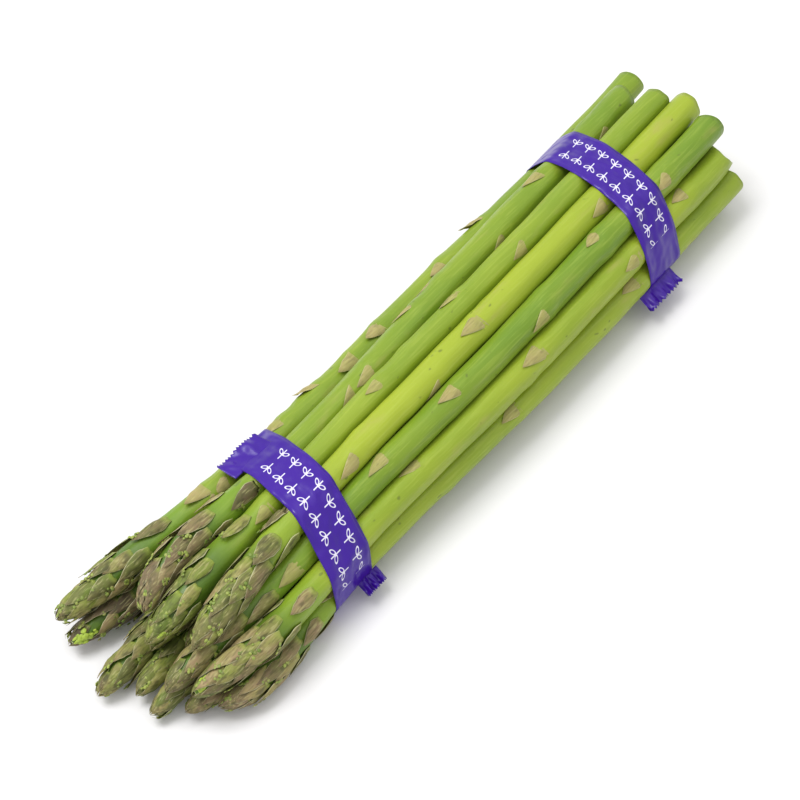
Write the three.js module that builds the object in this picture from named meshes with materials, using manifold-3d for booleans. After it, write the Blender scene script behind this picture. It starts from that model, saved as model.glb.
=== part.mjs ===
// Bundle of green asparagus lying on its side: eighteen spears in a flattened heap,
// tied by two bands of plastic tape. Millimetres, +Z up.
// X runs along the bundle, from the tips at -X to the cut ends at +X.
// The origin is on the surface the bundle lies on, under its middle.

import * as THREE from 'three';
import { ConvexGeometry } from 'three/addons/geometries/ConvexGeometry.js';
import * as BufferGeometryUtils from 'three/addons/utils/BufferGeometryUtils.js';
import Module from 'manifold-3d';

const wasm = await Module();
wasm.setup();

// Tape
const tapeWidth = 16;
const tapeThickness = 0.6;
const tapeGap = 0.4;
const tapeFacets = 36;
const flagRoot = 0.45;
const flagPleats = 4;
const crossingPasses = 4;

// The two bands: X of the middle of the tape over Y = 0, how far it slants along X for each
// millimetre of Y, and the loose end that stands out of it: where it starts and ends along X
// from the middle of the tape, the direction in degrees of the side that it leaves, how far
// it turns from there, and its size
const bands = [
  { name: 'band_tips', x: -60.5, slant: 0.25,
    flag: { from: -10, to: 5, side: 60, lean: -70, reach: 6, pleat: 0.5 } },
  { name: 'band_butts', x: 85.7, slant: 0.2,
    flag: { from: -13, to: 2, side: 200, lean: 8, reach: 6.5, pleat: 1 } },
];

// Heap of spears
const spearGap = 0.55;
const surfaceGap = 0.6;
const stationStep = 6;
const heapStart = -138;
const heapEnd = 144;
const guideX = { tips: -62, middle: 10, butts: 88 };
const guideSteps = 240;

// Settling of the heap: share of the passes after which a stage ends, how strongly each stage
// straightens a spear and pulls it to its planned place, and how full the spears have grown
const settlePasses = 700;
const settleStages = [
  { until: 0.7, straighten: 0.15, pull: 0.1 },
  { until: 0.93, straighten: 0.06, pull: 0.03 },
  { until: 1, straighten: 0.02, pull: 0 },
];
const stiffReaches = [1, 3];
const firstFullness = 0.75;
const fullAtShare = 0.5;
const lineDivisions = 400;

// One spear
const nominalRadius = 4.4;
const coreSides = 8;
const headLength = 44;
const headScales = 14;
const goldenAngle = THREE.MathUtils.degToRad(137.5);
const scaleClearance = 0.2;
const leastScaleHeight = 0.35;
const scaleHeightStep = 0.1;
const rootDepth = 1.3;
const rootShare = 0.35;
const leastRoot = 0.2;
const headRoom = 0.4;
const bluntTip = 3;
const tipPoint = 0.4;
const tapeMargin = 3.5;
const flatUnderTape = 0.2;
const endMargin = 6;
const weldDistance = 1e-4;

// Scale leaves: where the outline lies from base to tip, across, and above the core, and the
// size of the leaves in the head, from the first at the tip to the last, and along the stem
const scaleOutline = [[0, 0, 0.75], [0.2, -1, 0.3], [0.2, 1, 0.3], [0.5, 0, 1], [1, 0, 0.8]];
const headScale = {
  firstBase: 4.5, crowding: 1.15, length: [5, 12.5], lengthening: 0.6, spread: [62, 48],
  lift: 0.8, middleLift: 0.5,
};
const stemScale = { length: 11, spread: 42, lift: 0.6 };

// Core radius of a nominal spear against the distance from its tip
const coreProfile = [[0, 0.5], [3, 1.8], [8, 2.85], [18, 3.65], [33, 3.8], [50, 3.8], [70, 3.85],
  [92, 3.95], [116, 4.1], [142, 4.2], [170, 4.3], [200, 4.35], [230, 4.4]];
const swellLength = 40;

// Distances from the tip of the single scale leaves below the head
const stemNodes = [50, 62, 76, 93, 113, 136, 161, 188, 216];

// Every spear: radius at the cut end, how fat its head is, where its tip and its cut end lie,
// the [y, z] of its centre in the tip band, in the middle and in the butt band, the turn of its
// first scale leaf in degrees, and the slope of its cut
const spears = [
  { name: 'spear_01', radius: 4.2, head: 1.12, tip: [-124.8, 27.4, 10], tips: [12.6, 18],
    middle: [16.8, 18], butts: [17.4, 15.8], cut: [135.8, 20.4, 16], turn: 20, slope: 0.1 },
  { name: 'spear_02', radius: 4.3, head: 1.1, tip: [-112.8, 5, 17.5], tips: [4.2, 23.8],
    middle: [7.5, 24], butts: [10.8, 23.3], cut: [122.2, 15.2, 23.5], turn: 75, slope: -0.2 },
  { name: 'spear_03', radius: 4.0, head: 1.4, tip: [-119, -1.2, 15.5], tips: [-2.2, 26.6],
    middle: [-1.2, 28], butts: [1.6, 27.6], cut: [124, 3.4, 27.5], turn: 250, slope: 0.15 },
  { name: 'spear_04', radius: 4.6, head: 1, tip: [-113.4, -14.4, 17], tips: [-9.6, 26.2],
    middle: [-10.2, 28], butts: [-7.4, 27.4], cut: [127.6, -5, 27.5], turn: 140, slope: -0.1 },
  { name: 'spear_05', radius: 4.4, head: 1, tip: [-124.4, -11, 10], tips: [-16.4, 22.4],
    middle: [-18.4, 25], butts: [-16.2, 25.3], cut: [124, -14.5, 24.8], turn: 310, slope: 0.2 },
  { name: 'spear_06', radius: 4.5, head: 1.05, tip: [-121.3, -17.1, 11], tips: [-20.6, 16.6],
    middle: [-25, 19.4], butts: [-22.8, 18.6], cut: [123, -22.8, 18.3], turn: 200, slope: -0.45 },
  { name: 'spear_07', radius: 4.2, head: 1.1, tip: [-117, -23.9, 6], tips: [-22.2, 9.6],
    middle: [-28, 11.8], butts: [-25.3, 10.6], cut: [123, -24.4, 10], turn: 95, slope: 0.15 },
  { name: 'spear_08', radius: 4.0, head: 1.05, tip: [-122.8, -17.8, 5], tips: [-17.2, 4.9],
    middle: [-22, 5], butts: [-20.5, 5.2], cut: [121, -19, 5.4], turn: 160, slope: 0.1 },
  { name: 'spear_09', radius: 4.0, head: 1, tip: [-128.9, -11, 5], tips: [-9.8, 4.9],
    middle: [-12.5, 5], butts: [-11.9, 5.2], cut: [123, -11, 5.4], turn: 40, slope: -0.15 },
  { name: 'spear_10', radius: 4.1, head: 1, tip: [-126.7, -3.8, 5], tips: [-2.4, 4.9],
    middle: [-3.3, 5], butts: [-3.3, 5.2], cut: [122, -2.6, 5.4], turn: 285, slope: 0.2 },
  { name: 'spear_11', radius: 4.0, head: 1.2, tip: [-132.8, 4.1, 5], tips: [5, 4.9],
    middle: [5.6, 5], butts: [5.3, 5.2], cut: [124, 6.2, 5.4], turn: 120, slope: 0.1 },
  { name: 'spear_12', radius: 3.9, head: 1.2, tip: [-126.1, 22, 6], tips: [12.4, 4.9],
    middle: [13.2, 5.2], butts: [13.5, 5.4], cut: [126, 14, 7], turn: 330, slope: -0.1 },
  { name: 'spear_13', radius: 3.7, head: 1, tip: [-97, 14.5, 10.5], tips: [14.6, 10.8],
    middle: [10, 12.3], butts: [9, 12.4], cut: [119, 9, 13], turn: 230, slope: 0.15 },
  { name: 'spear_14', radius: 4.0, head: 1, tip: [-108, 8.5, 10.5], tips: [1.1, 12.2],
    middle: [3.5, 13], butts: [0.9, 12.8], cut: [123, 0.8, 13], turn: 10, slope: 0.1 },
  { name: 'spear_15', radius: 4.1, head: 1, tip: [-116, 3, 10], tips: [-6.6, 12.2],
    middle: [-6, 13], butts: [-7.7, 12.8], cut: [120, -7.6, 13], turn: 180, slope: -0.2 },
  { name: 'spear_16', radius: 4.0, head: 1, tip: [-110, -4.2, 10.5], tips: [-14.3, 12.2],
    middle: [-16, 13], butts: [-16.5, 12.8], cut: [123, -16, 13.4], turn: 60, slope: 0.2 },
  { name: 'spear_17', radius: 3.9, head: 1, tip: [-101, -11.5, 14.5], tips: [-10.4, 19],
    middle: [-12.5, 20.3], butts: [-12.2, 20], cut: [123.6, -13.5, 20.5], turn: 275, slope: -0.1 },
  { name: 'spear_18', radius: 3.4, head: 1, tip: [-101, 3.5, 14], tips: [7.6, 12.8],
    middle: [7, 17], butts: [4.2, 20], cut: [124, 7, 20.2], turn: 130, slope: 0.1 },
];

const spearColours = [0x8fb03c, 0x9dba40, 0x7fa338];
const tapeColour = 0x3a1fa0;

function between(table, distance) {
  // Value of a [distance, value] table, joined by straight lines
  const last = table.length - 1;
  if (distance >= table[last][0]) return table[last][1];
  const next = Math.max(1, table.findIndex(([at]) => at > distance));
  const [from, low] = table[next - 1];
  const [to, high] = table[next];
  return low + (high - low) * THREE.MathUtils.clamp((distance - from) / (to - from), 0, 1);
}

function coreRadius(spear, distance) {
  const inHead = THREE.MathUtils.clamp(distance / swellLength, 0, 1);
  const swelling = 1 + (spear.head - 1) * Math.sin(Math.PI * inHead);
  return between(coreProfile, distance) * swelling * spear.radius / nominalRadius;
}

function packedRadius(spear, distance) {
  // Room a spear takes in the heap: the core, with the scales that stand out around the head
  const inHead = THREE.MathUtils.smoothstep(headLength - distance, 0, headLength / 2);
  return coreRadius(spear, Math.max(distance, bluntTip)) + headRoom * inHead;
}

// The heap, settled section by section

const stationCount = Math.round((heapEnd - heapStart) / stationStep) + 1;
const stationX = (station) => heapStart + station * stationStep;

function underBand({ x, y }, margin) {
  return bands.some((band) => (
    Math.abs(x - band.x - band.slant * y) < tapeWidth / 2 + margin));
}

function plannedCentres(spear) {
  // Centre of the spear in every section, on a smooth curve through its five given places
  const guide = new THREE.CatmullRomCurve3([
    new THREE.Vector3(...spear.tip),
    new THREE.Vector3(guideX.tips, ...spear.tips),
    new THREE.Vector3(guideX.middle, ...spear.middle),
    new THREE.Vector3(guideX.butts, ...spear.butts),
    new THREE.Vector3(...spear.cut),
  ], false, 'centripetal');
  const points = guide.getPoints(guideSteps);
  return Array.from({ length: stationCount }, (_, station) => {
    const x = stationX(station);
    return points.reduce((best, point) => (
      Math.abs(point.x - x) < Math.abs(best.x - x) ? point : best)).clone().setX(x);
  });
}

function present(spear, x) {
  return x > spear.tip[0] - stationStep && x < spear.cut[0] + stationStep;
}

function pushApart(station, fullness) {
  const x = stationX(station);
  const here = spears.filter((spear) => present(spear, x));
  here.forEach((spear, index) => {
    const centre = spear.centres[station];
    const radius = packedRadius(spear, x - spear.tip[0]);
    for (const other of here.slice(index + 1)) {
      const facing = other.centres[station];
      const room = (radius + packedRadius(other, x - other.tip[0]) + spearGap) * fullness;
      const away = facing.clone().sub(centre);
      const distance = Math.max(away.length(), Number.EPSILON);
      if (distance < room) {
        away.multiplyScalar((room - distance) / distance / 2);
        facing.add(away);
        centre.sub(away);
      }
    }
    const lift = underBand(centre, stationStep) ? tapeThickness + tapeGap : surfaceGap;
    centre.z = Math.max(centre.z, radius + lift);
  });
}

function straightenSpears({ straighten, pull }) {
  for (const spear of spears) {
    const before = spear.centres.map((point) => point.clone());
    for (let station = 1; station < stationCount - 1; station += 1) {
      const centre = spear.centres[station];
      for (const wanted of stiffReaches) {
        const reach = Math.min(wanted, station, stationCount - 1 - station);
        centre.lerp(before[station - reach].clone().lerp(before[station + reach], 0.5), straighten);
      }
      centre.lerp(spear.planned[station], pull);
    }
  }
}

function centreAt(spear, x) {
  const place = (x - heapStart) / stationStep;
  const station = Math.floor(place);
  return spear.centres[station].clone().lerp(spear.centres[station + 1], place - station);
}

function settleHeap() {
  for (const spear of spears) {
    spear.planned = plannedCentres(spear);
    spear.centres = spear.planned.map((point) => point.clone());
  }
  for (let pass = 0; pass < settlePasses; pass += 1) {
    const share = pass / settlePasses;
    straightenSpears(settleStages.find(({ until }) => share < until));
    const fullness = THREE.MathUtils.lerp(firstFullness, 1, Math.min(1, share / fullAtShare));
    for (let station = 0; station < stationCount; station += 1) pushApart(station, fullness);
  }
  for (const spear of spears) {
    const [start, end] = [spear.tip[0], spear.cut[0]];
    const inside = spear.centres.filter(({ x }) => x > start + 1 && x < end - 1);
    spear.line = new THREE.CatmullRomCurve3(
      [centreAt(spear, start), ...inside, centreAt(spear, end)], false, 'centripetal');
    spear.line.arcLengthDivisions = lineDivisions;
    spear.length = spear.line.getLength();
  }
}

// Placing a point of a straight spear on the real one

function spearFrame(spear, distance) {
  const share = THREE.MathUtils.clamp(distance / spear.length, 0, 1);
  const centre = spear.line.getPointAt(share);
  const along = spear.line.getTangentAt(share);
  centre.addScaledVector(along, distance - share * spear.length);
  const side = along.clone().cross(new THREE.Vector3(0, 0, 1)).normalize();
  const up = side.clone().cross(along);
  return { centre, side, up };
}

function placed(spear, distance, angle, radius) {
  const { centre, side, up } = spearFrame(spear, distance);
  return centre.addScaledVector(side, radius * Math.cos(angle))
    .addScaledVector(up, radius * Math.sin(angle));
}

function clearHeight(spear, distance, angle, wanted) {
  // Height above the core that keeps a point on its own side of the space between neighbours,
  // above the surface and under the tape
  const radius = coreRadius(spear, Math.max(distance, 0));
  for (let height = wanted; height > 0; height -= scaleHeightStep) {
    const point = placed(spear, distance, angle, radius + height);
    const free = spears.every((other) => {
      if (other === spear || !present(other, point.x)) return true;
      const across = point.distanceTo(centreAt(other, point.x));
      return across - coreRadius(other, point.x - other.tip[0]) > height + scaleClearance;
    });
    const clear = height < flatUnderTape || !underBand(point, tapeMargin);
    if (free && clear && point.z > scaleClearance) return height;
  }
  return 0;
}

// Solids

function solidOf(geometry) {
  const plain = geometry.clone();
  plain.deleteAttribute('normal');
  plain.deleteAttribute('uv');
  const merged = BufferGeometryUtils.mergeVertices(plain, weldDistance);
  return new wasm.Manifold(new wasm.Mesh({
    numProp: 3,
    vertProperties: new Float32Array(merged.attributes.position.array),
    triVerts: new Uint32Array(merged.index.array),
  }));
}

function geometryOf(solid) {
  const mesh = solid.getMesh();
  const geometry = new THREE.BufferGeometry();
  geometry.setAttribute('position',
    new THREE.BufferAttribute(new Float32Array(mesh.vertProperties), 3));
  geometry.setIndex(new THREE.BufferAttribute(new Uint32Array(mesh.triVerts), 1));
  return geometry;
}

function spearCore(spear) {
  // Straight core along +Y, from the tip at 0 to the sloping cut
  const rings = coreProfile.map(([distance]) => distance)
    .filter((distance) => distance < spear.length - endMargin);
  rings.push(spear.length);
  const outline = rings.map((distance) => new THREE.Vector2(coreRadius(spear, distance), distance));
  const core = new THREE.LatheGeometry(
    [new THREE.Vector2(0, -tipPoint), ...outline, new THREE.Vector2(0, spear.length)], coreSides);
  const points = core.attributes.position;
  for (let index = 0; index < points.count; index += 1) {
    if (points.getY(index) > spear.length - endMargin / 2) {
      points.setY(index, spear.length + spear.slope * points.getX(index));
    }
  }
  return core;
}

function scaleLeaf(spear, { base, angle, length, spread, lift }) {
  // Hull of one scale leaf: its outline on the stalk, and a root inside the core
  const points = scaleOutline.map(([along, across, height]) => {
    const distance = base - along * length;
    const turn = angle + across * spread;
    const reach = coreRadius(spear, Math.max(distance, 0))
      + clearHeight(spear, distance, turn, height * lift);
    return new THREE.Vector3(reach * Math.cos(turn), distance, reach * Math.sin(turn));
  });
  const rootAt = Math.max(base - rootShare * length, tipPoint);
  const root = Math.max(coreRadius(spear, rootAt) - rootDepth, leastRoot);
  points.push(new THREE.Vector3(root * Math.cos(angle), rootAt, root * Math.sin(angle)));
  return new ConvexGeometry(points);
}

function scaleLeaves(spear) {
  // Leaves in a spiral: close together and overlapping in the head, far apart along the stem
  const size = spear.radius / nominalRadius;
  const first = THREE.MathUtils.degToRad(spear.turn);
  const { lerp, degToRad } = THREE.MathUtils;
  const { firstBase, crowding, length, lengthening, spread, lift, middleLift } = headScale;
  const head = Array.from({ length: headScales }, (_, index) => {
    const share = index / (headScales - 1);
    return {
      base: lerp(firstBase, headLength, share ** crowding),
      angle: first + index * goldenAngle,
      length: lerp(...length, share ** lengthening) * size,
      spread: degToRad(lerp(...spread, share)),
      lift: (lift + middleLift * Math.sin(Math.PI * share)) * size,
    };
  });
  const stem = stemNodes.filter((base) => base < spear.length - endMargin).map((base, index) => ({
    base,
    angle: first + (headScales + index) * goldenAngle,
    length: stemScale.length * size,
    spread: degToRad(stemScale.spread),
    lift: stemScale.lift * size,
  }));
  return [...head, ...stem].filter(({ base, angle, length: reach, lift: wanted }) => (
    clearHeight(spear, base - reach / 2, angle, wanted) >= leastScaleHeight));
}

function bendSpear(spear, geometry) {
  const points = geometry.attributes.position;
  const point = new THREE.Vector3();
  for (let index = 0; index < points.count; index += 1) {
    const { centre, side, up } = spearFrame(spear, points.getY(index));
    point.copy(centre).addScaledVector(side, points.getX(index))
      .addScaledVector(up, points.getZ(index));
    points.setXYZ(index, point.x, point.y, point.z);
  }
  geometry.computeVertexNormals();
  return geometry;
}

function spearGeometry(spear) {
  let solid = solidOf(spearCore(spear));
  for (const leaf of scaleLeaves(spear)) solid = solid.add(solidOf(scaleLeaf(spear, leaf)));
  return bendSpear(spear, geometryOf(solid));
}

// Tape

function crossings(edgeX, slant) {
  // Centre and radius of every spear where the slanting edge of the tape crosses it
  return spears.map((spear) => {
    let centre = centreAt(spear, edgeX);
    for (let pass = 0; pass < crossingPasses; pass += 1) centre = centreAt(spear, edgeX + slant * centre.y);
    return { centre, radius: coreRadius(spear, centre.x - spear.tip[0]) };
  });
}

function tapeOutline(edgeX, slant, offset) {
  // Polygon round the spears, with one side for each direction and a level bottom
  const turn = (2 * Math.PI) / tapeFacets;
  const circles = crossings(edgeX, slant);
  const angles = Array.from({ length: tapeFacets }, (_, index) => -Math.PI / 2 + index * turn);
  const reach = angles.map((angle, index) => {
    if (index === 0) return offset - tapeGap - tapeThickness;
    return offset + Math.max(...circles.map(({ centre, radius }) => (
      centre.y * Math.cos(angle) + centre.z * Math.sin(angle) + radius)));
  });
  return angles.map((angle, index) => {
    const next = (index + 1) % tapeFacets;
    const along = (reach[next] - reach[index] * Math.cos(turn)) / Math.sin(turn);
    const y = reach[index] * Math.cos(angle) - along * Math.sin(angle);
    const z = reach[index] * Math.sin(angle) + along * Math.cos(angle);
    return new THREE.Vector3(edgeX + slant * y, y, z);
  });
}

function tapeRing({ x, slant }) {
  // Closed ring: outlines at both edges of the tape, outside and inside
  const [near, far] = [x - tapeWidth / 2, x + tapeWidth / 2];
  const outside = tapeGap + tapeThickness;
  const loops = [
    tapeOutline(near, slant, outside), tapeOutline(far, slant, outside),
    tapeOutline(far, slant, tapeGap), tapeOutline(near, slant, tapeGap),
  ];
  const index = [];
  loops.forEach((_, row) => {
    const nextRow = (row + 1) % loops.length;
    for (let column = 0; column < tapeFacets; column += 1) {
      const next = (column + 1) % tapeFacets;
      const [a, b] = [row * tapeFacets + column, row * tapeFacets + next];
      const [c, d] = [nextRow * tapeFacets + column, nextRow * tapeFacets + next];
      index.push(a, b, d, a, d, c);
    }
  });
  const geometry = new THREE.BufferGeometry().setFromPoints(loops.flat());
  geometry.setIndex(index);
  return geometry;
}

function tapeFlag({ x, slant, flag }) {
  // Pleated ribbon, running along X and reaching out from one side of the ring
  const facetTurn = (2 * Math.PI) / tapeFacets;
  const side = Math.round(THREE.MathUtils.degToRad(flag.side + 90) / facetTurn);
  const ring = tapeOutline(x, slant, tapeGap + tapeThickness);
  const sideAngle = THREE.MathUtils.degToRad(flag.side);
  const root = ring[side].clone().lerp(ring[side - 1], 0.5);
  root.y -= flagRoot * Math.cos(sideAngle);
  root.z -= flagRoot * Math.sin(sideAngle);
  const leanAngle = sideAngle + THREE.MathUtils.degToRad(flag.lean);
  const out = new THREE.Vector3(0, Math.cos(leanAngle), Math.sin(leanAngle));
  const along = new THREE.Vector3(1, 0, 0);
  const fold = out.clone().cross(along);

  const folds = 2 * flagPleats;
  const crests = Array.from({ length: folds + 1 }, (_, index) => new THREE.Vector2(
    THREE.MathUtils.lerp(flag.from, flag.to, index / folds),
    (index % 2 ? flag.pleat : -flag.pleat) / 2));
  const backs = crests.map((crest) => crest.clone().setY(crest.y + tapeThickness)).reverse();
  const ribbon = new THREE.ExtrudeGeometry(
    new THREE.Shape([...crests, ...backs]), { depth: flag.reach, bevelEnabled: false });
  ribbon.applyMatrix4(new THREE.Matrix4().makeBasis(along, fold, out).setPosition(root));
  return ribbon;
}

settleHeap();

const group = new THREE.Group();
spears.forEach((spear, index) => {
  const material = new THREE.MeshStandardMaterial({
    color: spearColours[index % spearColours.length], roughness: 0.5, metalness: 0,
  });
  const mesh = new THREE.Mesh(spearGeometry(spear), material);
  mesh.name = spear.name;
  group.add(mesh);
});

for (const band of bands) {
  const ring = geometryOf(solidOf(tapeRing(band)).add(solidOf(tapeFlag(band))));
  ring.computeVertexNormals();
  const mesh = new THREE.Mesh(ring, new THREE.MeshStandardMaterial({
    color: tapeColour, roughness: 0.25, metalness: 0,
  }));
  mesh.name = band.name;
  group.add(mesh);
}

// The origin goes under the middle of the whole bundle
const size = new THREE.Box3().setFromObject(group);
const middle = size.getCenter(new THREE.Vector3());
group.position.set(-middle.x, -middle.y, -size.min.z);

export default group;
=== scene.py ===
import math
import random

import bmesh
import bpy
import numpy as np
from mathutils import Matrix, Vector


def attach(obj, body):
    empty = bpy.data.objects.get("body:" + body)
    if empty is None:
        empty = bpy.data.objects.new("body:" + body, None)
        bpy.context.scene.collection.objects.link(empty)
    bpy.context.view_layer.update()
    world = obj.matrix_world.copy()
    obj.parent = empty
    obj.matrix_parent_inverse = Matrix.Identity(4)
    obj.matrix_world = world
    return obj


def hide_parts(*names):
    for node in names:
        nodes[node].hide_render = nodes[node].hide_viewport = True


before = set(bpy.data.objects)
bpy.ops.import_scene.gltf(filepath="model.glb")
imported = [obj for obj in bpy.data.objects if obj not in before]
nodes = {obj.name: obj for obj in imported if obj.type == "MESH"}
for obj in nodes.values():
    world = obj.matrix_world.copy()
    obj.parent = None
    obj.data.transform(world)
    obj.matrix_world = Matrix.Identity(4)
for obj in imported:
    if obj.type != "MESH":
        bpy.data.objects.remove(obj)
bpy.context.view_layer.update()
mm = 0.001

# Every spear: turn of its first scale leaf in degrees, slope of its cut, how fat its head is, how
# yellow its stalk and how brown its leaves are, the share of the head's leaves that stand off, and
# the leaves along its open side, by distance from the tip, degrees round the spear and, for some,
# how far they lift off. A bevel is the side that a steep cut falls back on, in degrees, and its
# slope
spearNotes = {
    "spear_01": {"turn": 20, "slope": 0.1, "head": 1.12, "yellow": 0.35, "brown": 0.45, "loose": 0.75,
                 "leaves": [(53, 100, 0.8), (61, 60), (84, 120), (99, 140, 1.3), (114, 76, 1.0),
                            (128, 95, 0.8), (160, 94), (182, 150, 1.0)]},
    "spear_02": {"turn": 75, "slope": -0.2, "head": 1.1, "yellow": 0.35, "brown": 0.8, "loose": 0.85,
                 "leaves": [(54, 80), (88, 43, 1.4), (99, 58), (124, 150), (164, 30), (190, 113),
                            (221, 22)]},
    "spear_03": {"turn": 250, "slope": 0.15, "head": 1.4, "yellow": 0.5, "brown": 0.1, "loose": 0.2,
                 "leaves": [(49, 60), (100, 86), (139, 140), (168, 50), (222, 10)]},
    "spear_04": {"turn": 140, "slope": -0.1, "head": 1.0, "yellow": 0.9, "brown": 0.45, "loose": 0.35,
                 "leaves": [(54, 100), (71, 43), (107, 5), (129, 80), (191, 38)]},
    "spear_05": {"turn": 310, "slope": 0.2, "head": 1.0, "yellow": 0.22, "brown": 0.6, "loose": 0.3,
                 "leaves": [(48, 42), (89, 100), (119, 78), (158, 29), (190, 108), (223, 56)]},
    "spear_06": {"turn": 200, "slope": -0.15, "head": 1.05, "yellow": 0.65, "brown": 0.55, "loose": 0.3,
                 "bevel": (65, 1.05),
                 "leaves": [(51, 50), (93, 100), (145, 66), (193, 36), (223, 80)]},
    "spear_07": {"turn": 95, "slope": 0.15, "head": 1.1, "yellow": 0.6, "brown": 0.75, "loose": 0.3,
                 "leaves": [(50, 90), (106, 121), (125, 60), (186, 69), (228, 95)]},
    "spear_08": {"turn": 160, "slope": 0.1, "head": 1.05, "yellow": 0.5, "brown": 0.7, "loose": 0.1,
                 "leaves": [(70, 0), (152, -27), (205, 20)]},
    "spear_09": {"turn": 40, "slope": -0.15, "head": 1.0, "yellow": 0.35, "brown": 0.3, "loose": 0.1},
    "spear_10": {"turn": 285, "slope": 0.2, "head": 1.0, "yellow": 0.3, "brown": 0.15, "loose": 0.35},
    "spear_11": {"turn": 120, "slope": 0.1, "head": 1.2, "yellow": 0.3, "brown": 0.35, "loose": 0.3},
    "spear_12": {"turn": 330, "slope": -0.1, "head": 1.2, "yellow": 0.45, "brown": 1.1, "loose": 0.6},
    "spear_13": {"turn": 230, "slope": 0.15, "head": 1.0, "yellow": 0.55, "brown": 0.5, "loose": 0.2},
    "spear_14": {"turn": 10, "slope": 0.1, "head": 1.0, "yellow": 0.4, "brown": 0.4, "loose": 0.1},
    "spear_15": {"turn": 180, "slope": -0.2, "head": 1.0, "yellow": 0.6, "brown": 0.3, "loose": 0.1},
    "spear_16": {"turn": 60, "slope": 0.2, "head": 1.0, "yellow": 0.35, "brown": 0.5, "loose": 0.1},
    "spear_17": {"turn": 275, "slope": -0.1, "head": 1.0, "yellow": 0.5, "brown": 0.4, "loose": 0.1},
    "spear_18": {"turn": 130, "slope": 0.1, "head": 1.0, "yellow": 0.65, "brown": 0.2, "loose": 0.1},
}

# Torn places of bright flesh: distance from the tip, degrees round the spear, and how far it
# spreads
wounds = {
    "spear_12": [(2.0, 35, 1.3), (4.4, 15, 0.8)],
    "spear_03": [(3.0, 30, 0.8)],
    "spear_04": [(9.0, 35, 0.9)],
    "spear_06": [(2.6, 75, 1.3)],
    "spear_02": [(12.0, 60, 0.8)],
}

# How the centre lines are read from the plain solids
centreReading = {
    "fromTip": 4, "fromCut": 2.5, "step": 4.0,   # sections along the spear
    "degree": 9,         # of the curves through the centres of the sections
    "passes": 6,         # rounds of leaving the leaves out of a section
    "standOut": 1.04,    # reach past the middle one at which a point belongs to a leaf
    "fewest": 8,         # points that a circle is fitted to
    "radiusAt": 6, "radiusShare": 90,   # section and percentile that give the stalk's radius
    "skinStart": 0.4,    # from the plain solid's tip
    "spots": 600,        # of the table of lengths
}

stalkShape = {
    "profile": [(0, 0.5), (3, 1.8), (8, 2.85), (18, 3.65), (33, 3.8), (50, 3.8), (70, 3.85),
                (92, 3.95), (116, 4.1), (142, 4.2), (170, 4.3), (200, 4.35), (230, 4.4)],
    "nominal": 4.4,      # radius at the cut end that the profile is drawn for
    "swellLength": 40,   # the head's fatness is spread over this length
    "plump": 0.22,       # how far the skin stands outside the plain core
    "sides": 44,
    "ringStep": 1.9,
    "ribs": 0.05,        # depth of the faint lengthwise ribs
    "nodeSwell": 0.6,    # swelling under each scale leaf
    "nodeReach": 2.6,
    "waver": 0.09,       # slow rise and fall of the skin along the stalk
    "waverPace": 0.19,
    # Over this length the stalk takes its neck tint and then a painted shade of deep green into the head
    "headTintAndShade": 26,      # length over which the stalk darkens into the head
    "cutLength": 14,     # the skin is drawn to a slanting cut over this length
    "cutRough": 0.14,
    "closing": 1.6,      # beyond the tip, everything closes up over this length
}

# Where the scale leaves sit, and what all of them have in common
leafShape = {
    "headLength": 48, "tuftLength": 29, "tuftLeaves": 34, "firstBase": 2.2, "crowding": 1.2,
    "neckNodes": [30.5, 33, 35.5, 38.5, 42, 46],
    "lostShare": 0.14,   # leaves missing from the head, so that the stalk shows through
    "keptLength": 9,     # none is missing from this much of the tip
    "stemNodes": [50, 62, 76, 93, 113, 136, 161, 188, 216],
    "headTurns": 14,     # head leaves of the plain model, which the spiral is counted from
    "golden": math.radians(137.5),
    "facing": math.radians(63),   # middle of the open side of the upper spears
    "along": 14, "around": 16,
    "bury": 0.5, "buryLength": 0.03,
    "middle": 0.4,       # part of the leaf at which its spear's radius is taken
    "leastRoom": 0.6,    # a stem leaf needs this much over the skin
    "thinning": 0.75,    # part of its thickness that a leaf loses towards its tip
    "archAt": 0.42, "archSpread": 0.26, "archRest": 0.3,
    "curlFrom": 0.45, "curlGain": 3.3,
    "waves": 13, "frays": 21,
    "collar": 0.22, "collarAt": 0.06, "collarSpread": 0.05,   # thick fold at the leaf's base
}

# Leaves of the head: a pair is a range to draw from, or the size at the tip and what it gains down
# to the neck
headLeafShape = {
    "looseFrom": 0.2, "looseLength": 1.15, "looseLift": (0.8, 1.8), "looseCurl": (-0.6, 2.4),
    "baseDrift": 0.5, "neckDrift": 1, "turnDrift": 0.14,
    "length": (6.0, 4.2), "lengthDrift": (0.9, 1.2), "beyondTip": 1.4,
    "halfWidth": (1.35, 0.85), "widthDrift": (0.85, 1.15),
    "lift": (0.2, 1.0), "liftDrift": (0.6, 1.4), "arch": (0.4, 0.75), "curl": (-0.1, 0.35),
    "wave": (0.02, 0.1), "fray": (0.01, 0.05), "thick": 0.5, "ears": (0.3, 1.1),
    "sway": (-0.2, 0.2), "brownDrift": 0.25,
    "looseGrains": 7, "grains": 4, "grainsFrom": 0.25, "grainsShare": 0.2,
}

stemLeafShape = {
    "turnDrift": 0.05, "length": (8.2, 10.4), "halfWidth": (3.0, 3.5), "lift": (0.15, 0.4),
    "arch": (0.12, 0.25), "curl": (0, 0.25), "wave": (0, 0.04), "thick": 0.4, "ears": (0.6, 1.3),
    "sway": (-0.35, 0.15), "tone": (1.2, 1.8), "brown": 0.4, "brownDrift": (-0.25, 0.3),
}

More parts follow.
